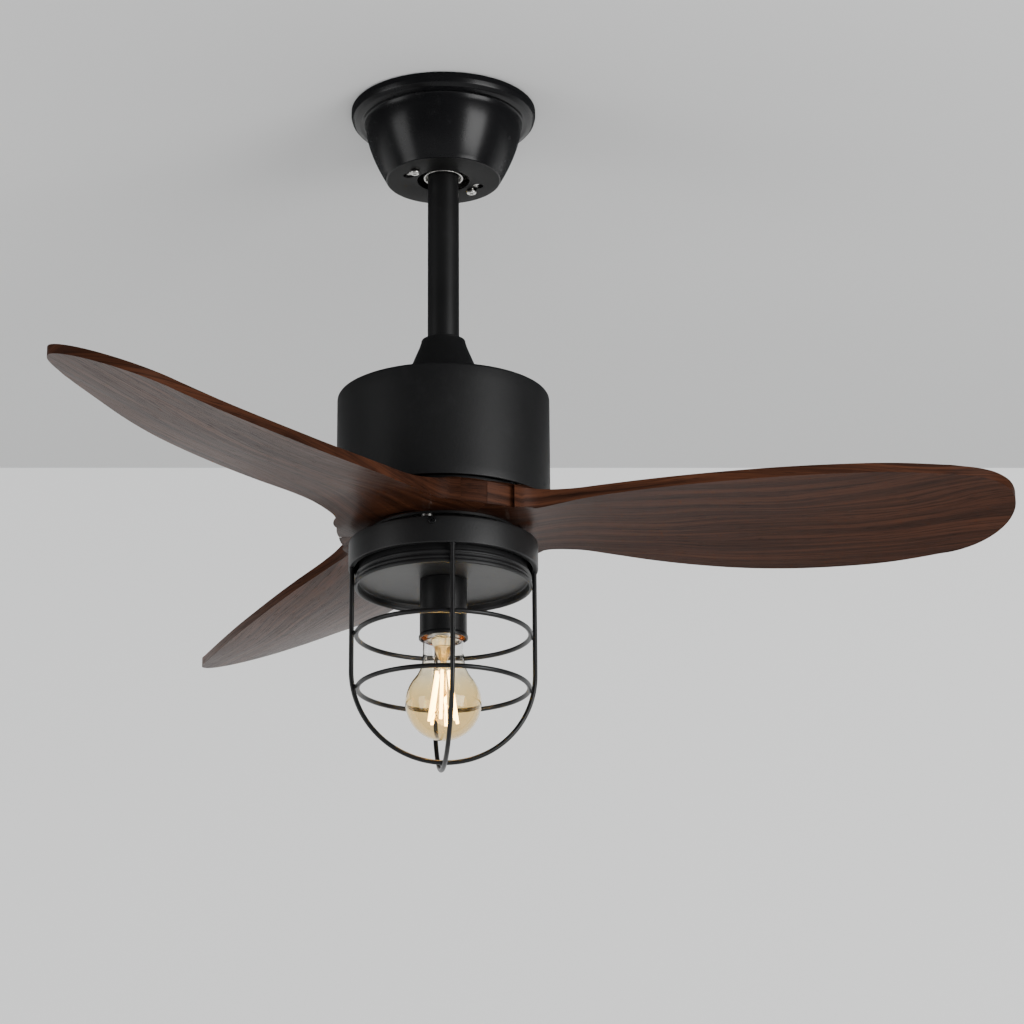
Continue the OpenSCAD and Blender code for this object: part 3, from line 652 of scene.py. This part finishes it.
def bowedRow(high, low, bow):
    # a line from the high edge to the low edge that swells towards the tip
    across = blades["across"]
    row = []
    for k in range(across + 1):
        turn = math.radians(-90 + 180 * k / across)
        share = (1 + math.sin(turn)) / 2
        row.append((high[0] + (low[0] - high[0]) * share + bow * math.cos(turn),
                    high[1] + (low[1] - high[1]) * share))
    return row


def bladeRows():
    b = blades
    hub = b["hubRadius"]
    rows = [arcRow(share) for share in (0, 0.2, 0.4, 0.55, 0.7)]
    fan = math.radians(64)
    waist = math.radians(42.2)
    for step in range(-1, 9):
        a = fan + (waist - fan) * max(step, 0) / 8
        radius = hub * (0.86 if step < 0 else 1)
        bow = hub * (0.38 if step < 0 else 0.44 - 0.11 * step / 8)
        x, y = radius * math.cos(a), radius * math.sin(a)
        rows.append(bowedRow((x, -y), (x, y), bow))
    start = hub * math.cos(waist)
    last = b["tipCentre"]
    count = 56
    for step in range(1, count + 1):
        share = (step / count) ** 1.5  # the rows are closer near the root
        x = start + (last - start) * share
        bow = hub * 0.33 * max(0, 1 - share * 3.2) ** 2
        high, low = curveThrough(bladeLine, x, 1), curveThrough(bladeLine, x, 2)
        rows.append(bowedRow((x, -high), (x, low), bow))
    fingers = 16
    for step in range(1, fingers + 1):  # the ends of these rows slide along the tip's outline
        t = step / fingers
        end = math.radians(90 - 60 * t ** 0.85)
        (highX, highY), (lowX, lowY) = tipPoint(-end), tipPoint(end)
        row = []
        for k in range(b["across"] + 1):
            turn = math.radians(-90 + 180 * k / b["across"])
            share = (1 + math.sin(turn) * (1 - t) + t * (2 * k / b["across"] - 1)) / 2
            x, y = highX + (lowX - highX) * share, highY + (lowY - highY) * share
            outX, outY = tipPoint(end * (2 * share - 1))
            row.append((x + (outX - x) * t, y + (outY - y) * t))
        rows.append(row)
    return rows


def bladeHeight(x, y, side):
    b = blades
    radius = math.hypot(x, y)
    if radius < b["hubRadius"] - 9:
        return b["hubTop"] if side > 0 else b["hubBottom"]
    pitch = math.radians(curveThrough(bladeLine, x, 3))
    height = curveThrough(bladeLine, x, 5) - y * math.tan(pitch) + side * curveThrough(bladeLine, x, 4) / 2
    if radius < b["hubRadius"] + 1:
        height = min(max(height, b["hubBottom"]), b["hubTop"])
    return height


def makeBladeBlank():
    rows = bladeRows()
    across = blades["across"]
    clearSelection()
    bpy.ops.mesh.primitive_grid_add(x_subdivisions=len(rows) - 1, y_subdivisions=across, size=1)
    blank = bpy.context.object
    blank.name = "bladeBlank"
    places = [row[k] for k in range(across + 1) for row in rows]
    for vertex, (x, y) in zip(blank.data.vertices, places):
        vertex.co = (x * mm, y * mm, 0)
    edit()
    bpy.ops.mesh.select_all(action="SELECT")
    bpy.ops.mesh.extrude_region_move(TRANSFORM_OT_translate={"value": (0, 0, -10 * mm)})
    leaveEdit()
    for vertex in blank.data.vertices:
        x, y, z = vertex.co / mm
        vertex.co.z = bladeHeight(x, y, 1 if z > -5 else -1) * mm
    cleanMesh(blank)
    apply(blank, "BEVEL", width=blades["edgeRadius"] * mm, segments=4, limit_method="ANGLE",
          angle_limit=math.radians(50), use_clamp_overlap=True)
    for side in (-1, 1):  # the seams between neighbouring blades are sawn straight
        across = (-math.sin(math.radians(60)), side * math.cos(math.radians(60)), 0)
        select(blank)
        edit()
        bpy.ops.mesh.select_all(action="SELECT")
        bpy.ops.mesh.bisect(plane_co=[-c * blades["seam"] * mm for c in across], plane_no=across,
                            use_fill=True, clear_outer=True)
        leaveEdit()
    cleanMesh(blank)
    return blank


def wrapGrain(piece, shift):
    # the flat plan of the blade becomes its UV map, so the grain runs along it
    layer = piece.data.uv_layers.get("UVMap") or piece.data.uv_layers.new(name="UVMap")
    plan = piece.data.uv_layers.new(name="plan")
    for face in piece.data.polygons:
        side = abs(face.normal.z) < 0.5
        lowerEdge = -0.93 < face.normal.z < -0.3 and math.hypot(*face.center.xy) > 0.03
        # the side faces take the edge band's finish, whose colour carries a painted highlight as well as
        # the wood's own tone
        face.material_index = 2 if lowerEdge else 1 if side else 0
        for corner in face.loop_indices:
            place = piece.data.vertices[piece.data.loops[corner].vertex_index].co
            if side:  # round the hub the grain follows the band
                turn = min(math.atan2(abs(place.y), place.x), math.radians(62))
                along = turn * 0.087 if place.xy.length < 0.088 else place.x
                layer.data[corner].uv = (along + shift, place.z + 0.15 * abs(place.y) + shift * 1.7)
            else:
                drop = 0.4 if face.normal.z > 0 else 0
                layer.data[corner].uv = (place.x + shift, place.y + drop + shift * 1.7)
            plan.data[corner].uv = place.xy


def makeBlades():
    blank = makeBladeBlank()
    for number in range(3):
        piece = blank.copy()
        piece.data = blank.data.copy()
        piece.name = "blade_" + "ABC"[number]
        bpy.context.scene.collection.objects.link(piece)
        wrapGrain(piece, 0.83 * number)
        piece.rotation_euler = (0, 0, math.radians(blades["firstAngle"] - 120 * number))
        settle(piece)
        smooth(piece, 40)
        node = "blade_%d" % (number + 1)
        finishPiece(piece, "rotor", ["walnutFace", "walnutEdgeAndSheen", "walnutLine"], [node])
    bpy.data.objects.remove(blank)


makeBlades()
print("blades made")


# light ring, pan and lampholder

ring = {
    "radius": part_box("light_ring")[1].x / mm,
    "top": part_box("light_ring")[1].z / mm,
    "bottom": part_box("light_ring")[0].z / mm,
    "wall": 1.5,
    "screwAngles": [math.radians(-96.4 + 120 * k) for k in range(3)],
}
pan = {
    "radius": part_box("light_pan")[1].x / mm,
    "bottom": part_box("light_pan")[0].z / mm,
    "top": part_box("light_pan")[1].z / mm,
    "plate": -414.4,
    "flange": 67,
}
holder = {
    "radius": 19,
    "top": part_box("lampholder_cover")[1].z / mm,
    "bottom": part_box("lampholder_cover")[0].z / mm,
    "wall": 1.2,
}


def makeLightRing():
    r, top, bottom, wall = ring["radius"], ring["top"], ring["bottom"], ring["wall"]
    lip = pan["radius"] + 0.4
    outline = [(20, top), (r, top, 1.4), (r, top - 5), (r, bottom, 1.1), (lip, bottom, 0.4),
               (lip, bottom + 2),
               (r - wall, bottom + 2, 0.4), (r - wall, top - wall, 0.5), (20, top - wall)]
    piece = lathe("lightRing", outline, 192)
    holes = []
    for a in ring["screwAngles"]:
        place = (r * math.cos(a) * mm, r * math.sin(a) * mm, (top - 4) * mm)
        holes.append(drum("screwHole", 1.7 * mm, 12 * mm, place, (math.cos(a), math.sin(a), 0), 24))
    cut(piece, holes)
    smooth(piece, 30)
    finishPiece(piece, "hanging_column", "matteBlack", ["light_ring"])
    heads = []
    for a in ring["screwAngles"]:
        out = Vector((math.cos(a), math.sin(a), 0))
        seat = out * (r - 0.15) * mm + Vector((0, 0, (top - 4) * mm))
        heads.append(panScrew("ringScrew", seat, out, 3.2 * mm, 1.9 * mm))
        heads.append(drum("shank", 1.6 * mm, 10 * mm, seat - out * 5 * mm, out, 24))
    screws = joined(heads, "lightRingScrews")
    finishPiece(screws, "hanging_column", "satinBlack", ["light_ring_screws"])


def makePan():
    r, low, top, plate, flange = pan["radius"], pan["bottom"], pan["top"], pan["plate"], pan["flange"]
    base = ring["bottom"]
    outline = [(flange, top, 0.3), (flange + 1, top, 0.3), (flange + 1, base - 1, 0.3),
               (r - 2.6, base - 1.2, 0.6),
               (r - 2.4, base - 3.4, 0.6), (r - 1.2, base - 4.2, 0.8), (r - 1.1, base - 5.6, 0.8),
               (r - 2, base - 6.4, 0.6), (r - 1.9, base - 8, 0.6), (r - 0.5, base - 9, 0.8),
               (r - 0.4, base - 10.2, 0.6), (r - 1, base - 10.8, 0.4), (r - 0.9, low + 3.4, 0.4),
               (r, low + 2.6, 1), (r, low, 1.2), (r - 2.4, low, 1), (r - 2.9, low + 2, 1.2),
               (r - 3.1, plate, 1.4), (12, plate), (12, plate + 1), (r - 5, plate + 1, 1),
               (r - 5, base - 2), (flange, base - 2, 0.4)]
    piece = lathe("lightPan", outline, 192, 38)
    finishPiece(piece, "hanging_column", ["matteBlack", "platePaintedLight"], ["light_pan"])
    # the flat plate takes the copy of the matte black with painted light
    paintFlat(piece, r - 3)


def makeHolder():
    r, top, low, wall = holder["radius"], holder["top"], holder["bottom"], holder["wall"]
    outline = [(12, top), (r, top, 1.2), (r, top - 8), (r, low + 3.6, 1), (r + 0.8, low + 2.2, 0.8),
               (r + 0.8, low, 0.5), (r - 0.7, low, 0.4), (r - wall, low + 2.6, 1),
               (r - wall, top - wall, 0.6),
               (12, top - wall)]
    piece = lathe("lampholderCover", outline, 128, 38)
    finishPiece(piece, "hanging_column", "rodBlack", ["lampholder_cover"])
    inner = r - wall
    outline = [(inner - 0.1, low + 9), (inner - 0.1, low + 1.6, 0.2), (inner - 0.7, low + 0.9, 0.3),
               (inner - 0.75, low + 3), (inner - 0.5, low + 9)]
    piece = lathe("copperMouth", outline, 96, 40)
    finishPiece(piece, "hanging_column", "copper")


makeLightRing()
makePan()
makeHolder()
print("light ring, pan and lampholder made")


# cage

cage = {
    "wire": 3.9 / 2,
    "radius": 73.7,
    "turn": math.radians(5.6),
    "sideTurnDepth": -491.1,
    "top": ring["bottom"] - 0.02,
    "ringDepths": [(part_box(n)[0].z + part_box(n)[1].z) / 2 / mm
                   for n in ("cage_ring_upper", "cage_ring_lower")],
}


def makeHoop(name, drop, turn, node):
    c = cage
    bend = c["sideTurnDepth"] - drop
    clearSelection()
    bpy.ops.mesh.primitive_circle_add(vertices=24, radius=c["wire"] * mm, fill_type="NGON",
                                      location=(c["radius"] * mm, 0, c["top"] * mm))
    piece = bpy.context.object
    piece.name = name
    settle(piece)
    edit()
    bpy.ops.mesh.select_all(action="SELECT")
    straight = {"value": (0, 0, (bend - c["top"]) * mm)}
    bpy.ops.mesh.extrude_region_move(TRANSFORM_OT_translate=straight)
    bpy.ops.mesh.spin(steps=72, angle=math.pi, center=(0, 0, bend * mm), axis=(0, -1, 0))
    bpy.ops.mesh.extrude_region_move(TRANSFORM_OT_translate={"value": (0, 0, (c["top"] - bend) * mm)})
    leaveEdit()
    cleanMesh(piece)
    piece.rotation_euler = (0, 0, turn)
    settle(piece)
    smooth(piece, 40)
    finishPiece(piece, "hanging_column", "wireBlack", [node])


def cageReach(depth):
    below = max(0, cage["sideTurnDepth"] - depth)
    return math.sqrt(cage["radius"] ** 2 - below ** 2) - 2 * cage["wire"]


def makeCageRing(name, depth, node):
    c = cage
    reach = cageReach(depth)
    clearSelection()
    bpy.ops.mesh.primitive_circle_add(vertices=24, radius=c["wire"] * mm, fill_type="NOTHING",
                                      location=(reach * mm, 0, depth * mm), rotation=(math.pi / 2, 0, 0))
    piece = bpy.context.object
    piece.name = name
    settle(piece)
    edit()
    bpy.ops.mesh.select_all(action="SELECT")
    bpy.ops.mesh.spin(steps=160, angle=2 * math.pi, center=(0, 0, depth * mm), axis=(0, 0, 1))
    leaveEdit()
    cleanMesh(piece)
    smooth(piece, 40)
    finishPiece(piece, "hanging_column", "wireBlack", [node])


def weldBead(place, size, stretch):
    clearSelection()
    bpy.ops.mesh.primitive_uv_sphere_add(segments=16, ring_count=10, radius=1, location=place)
    bead = bpy.context.object
    bead.scale = Vector(stretch) * size
    bead.rotation_euler = (0, 0, math.atan2(place[1], place[0]))
    settle(bead)
    for vertex in bead.data.vertices:  # a slightly lumpy surface
        spot = vertex.co / mm
        ripple = math.sin(spot.x * 3.1) * math.cos(spot.z * 2.7 + spot.y * 2.3)
        vertex.co += vertex.normal * 0.12 * mm * ripple
    return bead


def makeWelds():
    c = cage
    beads = []
    for depth in c["ringDepths"]:
        middle = cageReach(depth) + c["wire"]
        for quarter in range(4):
            a = c["turn"] + quarter * math.pi / 2
            beads.append(weldBead((middle * math.cos(a) * mm, middle * math.sin(a) * mm, depth * mm),
                                  1.5 * mm, (0.8, 1.45, 1.35)))
    bottom = c["sideTurnDepth"] - c["radius"] - c["wire"]
    beads.append(weldBead((0, 0, bottom * mm), 1.5 * mm, (1.4, 1.4, 0.8)))
    for quarter in range(4):
        a = c["turn"] + quarter * math.pi / 2
        place = (c["radius"] * math.cos(a) * mm, c["radius"] * math.sin(a) * mm, (c["top"] - 0.5) * mm)
        beads.append(weldBead(place, 1.5 * mm, (1.4, 1.7, 0.6)))
    welds = joined(beads, "cageWelds")
    smooth(welds, 60)
    finishPiece(welds, "hanging_column", "wireBlack")


makeHoop("cageHoopSide", 0, cage["turn"], "cage_hoop_side")
makeHoop("cageHoopFront", 2 * cage["wire"], cage["turn"] + math.pi / 2, "cage_hoop_front")
for label, depth in zip(("Upper", "Lower"), cage["ringDepths"]):
    makeCageRing("cageRing" + label, depth, "cage_ring_" + label.lower())
makeWelds()
print("cage made")


# bulb

bulb = {
    "globe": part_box("bulb_globe")[1].x / mm,
    "top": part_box("bulb_globe")[1].z / mm,
    "bottom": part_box("bulb_globe")[0].z / mm,
    "neck": 16.6,
    "blend": 30,
    "wall": 0.9,
    "filamentTop": -491,
    "filamentBottom": -532,
}
finishes["amberGlass"] = amberGlass("amberGlass", -0.476, -0.512)


def bulbLine(inset):
    b = bulb
    centre = b["bottom"] + b["globe"]
    blendX = b["neck"] + b["blend"]
    drop = math.sqrt((b["globe"] + b["blend"]) ** 2 - blendX ** 2)
    meet = math.atan2(drop, blendX)
    line = [(13, b["top"] - inset), (b["neck"] - 2.2, b["top"] - inset),
            (b["neck"] - inset, b["top"] - 2.6)]
    for i in range(12):
        a = math.pi + meet * i / 12
        blendReach = b["blend"] + inset
        line.append((blendX + blendReach * math.cos(a), centre + drop + blendReach * math.sin(a)))
    for i in range(37):
        a = meet + (-math.pi / 2 - meet) * i / 36
        line.append(((b["globe"] - inset) * math.cos(a), centre + (b["globe"] - inset) * math.sin(a)))
    return line


def makeBulb():
    b = bulb
    outer, inner = bulbLine(0), bulbLine(b["wall"])
    glass = lathe("bulbGlass", outer + inner[::-1], 128, 60)
    finishPiece(glass, "bulb", "amberGlass", ["bulb_globe"])
    top = b["top"]
    stem = lathe("glassStem", [(0, top - 0.5), (10, top - 0.5, 0.5), (9, top - 3, 2), (5, top - 13, 4),
                               (2.4, top - 18, 3), (2.2, top - 40, 1), (3.2, top - 45, 2), (0, top - 48)],
                               48, 60)
    # the stem's finish glows with painted light from the filaments
    finishPiece(stem, "bulb", "stemGlass", ["bulb_stem"])
    rods = []
    for k in range(6):
        a = math.radians(20 + 60 * k)
        low = Vector((12 * math.cos(a), 12 * math.sin(a), b["filamentBottom"])) * mm
        high = Vector((5.5 * math.cos(a), 5.5 * math.sin(a), b["filamentTop"])) * mm
        way = high - low
        rods.append(drum("rod", 1.3 * mm, way.length, (low + high) / 2, way, 16, 0.3 * mm))
    filaments = joined(rods, "bulbFilaments")
    smooth(filaments, 60)
    finishPiece(filaments, "bulb", "filament", ["bulb_filaments"])
    wires = []
    for k in range(6):
        a = math.radians(20 + 60 * k)
        low = Vector((12 * math.cos(a), 12 * math.sin(a), b["filamentBottom"])) * mm
        foot = Vector((2.4 * math.cos(a), 2.4 * math.sin(a), b["filamentBottom"] + 16)) * mm
        high = Vector((5.5 * math.cos(a), 5.5 * math.sin(a), b["filamentTop"])) * mm
        head = Vector((2.2 * math.cos(a), 2.2 * math.sin(a), b["filamentTop"] + 9)) * mm
        for start, end in ((low, foot), (high, head)):
            wires.append(drum("wire", 0.25 * mm, (end - start).length, (start + end) / 2, end - start, 8))
    supports = joined(wires, "filamentWires")
    smooth(supports, 60)
    finishPiece(supports, "bulb", "brightSteel")


makeBulb()
print("bulb made")


# the rest of the frame keeps its shape and gets its finish

slotFinish = {
    "satin_black": "satinBlack", "matte_black": "matteBlack", "bright_steel": "brightSteel",
    "dark_steel": "darkSteel", "walnut": "walnutFace", "copper": "copper", "white_plastic": "whitePlastic",
    "black_nylon": "blackNylon", "board_green": "boardGreen", "bulb_glass": "amberGlass",
    "bulb_metal": "capMetal", "filament": "filament",
}
slotOf = {part["node"]: part["material_slot"] for part in frame["record"]["subparts"]}
for nodeName, node in frame["nodes"].items():
    node.data.materials.clear()
    node.data.materials.append(finishes[slotFinish[slotOf[nodeName]]])
print("frame finished:", len(frame["nodes"]))


# room, light and camera

room = {
    "cameraPlace": (0, -2.533, -1.206),
    "cameraPitch": 18.55,
    "lens": 116.0,
    "shift": 0.067,
    "wallAt": 0.908,
    "floorAt": -2.6,
}


def oneSided(name, colour, rough):
    f = Finish(name)
    cloud = f.noise(0.9, 3)
    grain = f.noise(160, 3)
    tone = f.blend(cloud, [c * 0.96 for c in colour], colour)
    f.set(Base_Color=tone, Roughness=rough, Normal=f.bump(grain, 0.05, 0.0004))
    clear = f.node("ShaderNodeBsdfTransparent")
    back = f.node("ShaderNodeNewGeometry", output="Backfacing")
    mixed = f.node("ShaderNodeMixShader", None, {0: back, 1: Channel(f, f.shader.outputs[0]), 2: clear})
    output = f.tree.nodes["Material Output"]
    f.tree.links.new(mixed.socket, output.inputs["Surface"])
    return f.material


def stagePlane(name, size, place, turn, material):
    clearSelection()
    bpy.ops.mesh.primitive_plane_add(size=1, location=place, rotation=turn)
    plane = bpy.context.object
    plane.name = name
    plane.scale = (size[0], size[1], 1)
    plane.data.materials.append(material)
    return plane


ceilingPaint = oneSided("ceilingPaint", (0.93, 0.93, 0.93), 0.8)
wallPaint = oneSided("wallPaint", (0.93, 0.93, 0.925), 0.85)
floorPaint = oneSided("floorPaint", (0.7, 0.7, 0.69), 0.7)
ceiling = stagePlane("ceiling", (8, 6), (0, room["wallAt"] - 3, 0.0006), (math.pi, 0, 0), ceilingPaint)
wall = stagePlane("wall", (8, 3.4), (0, room["wallAt"], -1.7), (math.pi / 2, 0, 0), wallPaint)
floor = stagePlane("floor", (30, 30), (0, 0, room["floorAt"]), (0, 0, 0), floorPaint)
for plane in (ceiling, wall):
    plane.visible_shadow = False
    plane.visible_diffuse = False
ceiling.visible_glossy = False


def softbox(name, place, aim, size, power):
    light = bpy.data.lights.new(name, "AREA")
    light.shape = "RECTANGLE"
    light.size, light.size_y = size
    light.energy = power
    holder = bpy.data.objects.new(name, light)
    bpy.context.scene.collection.objects.link(holder)
    holder.location = place
    holder.rotation_euler = (Vector(aim) - Vector(place)).to_track_quat("-Z", "Y").to_euler()
    holder.visible_camera = False
    return holder


target = (0, 0, -0.36)
softbox("leftWindow", (-2.42, -0.97, -0.7), target, (1.1, 1.5), 18)
softbox("rightWindow", (2.0, -1.68, -0.6), target, (1.4, 1.5), 56)
fill = softbox("frontFill", (0.2, -2.8, -1.7), target, (2.4, 1.4), 18)
fill.visible_glossy = False
world = bpy.data.worlds.new("paleRoom")
world.use_nodes = True
world.node_tree.nodes["Background"].inputs[0].default_value = (0.8, 0.81, 0.82, 1)
world.node_tree.nodes["Background"].inputs[1].default_value = 0.9
bpy.context.scene.world = world

# the far side of the room is dim, and only reflections show it
dimPaint = oneSided("dimPaint", (0.05, 0.052, 0.055), 0.9)
sidePaint = oneSided("sidePaint", (0.2, 0.205, 0.21), 0.9)
for label, size, place, turn in (("dimTop", (12, 9), (0, -1, 0.02), (math.pi, 0, 0)),
                                 ("dimFront", (12, 8), (0, -5.5, -1), (-math.pi / 2, 0, 0)),
                                 ("dimLeft", (6, 8), (-4.5, -2.5, -1), (math.pi / 2, 0, math.pi / 2)),
                                 ("dimRight", (6, 8), (4.5, -2.5, -1), (math.pi / 2, 0, -math.pi / 2))):
    panel = stagePlane(label, size, place, turn, dimPaint if label in ("dimTop", "dimFront") else sidePaint)
    panel.visible_camera = False
    panel.visible_diffuse = False
    panel.visible_shadow = False

lens = bpy.data.cameras.new("photoCamera")
lens.lens = room["lens"]
lens.sensor_width = 36
lens.shift_x = room["shift"]
camera = bpy.data.objects.new("photoCamera", lens)
bpy.context.scene.collection.objects.link(camera)
camera.location = room["cameraPlace"]
camera.rotation_euler = (math.radians(90 + room["cameraPitch"]), 0, 0)
bpy.context.scene.camera = camera
print("room, light and camera set")
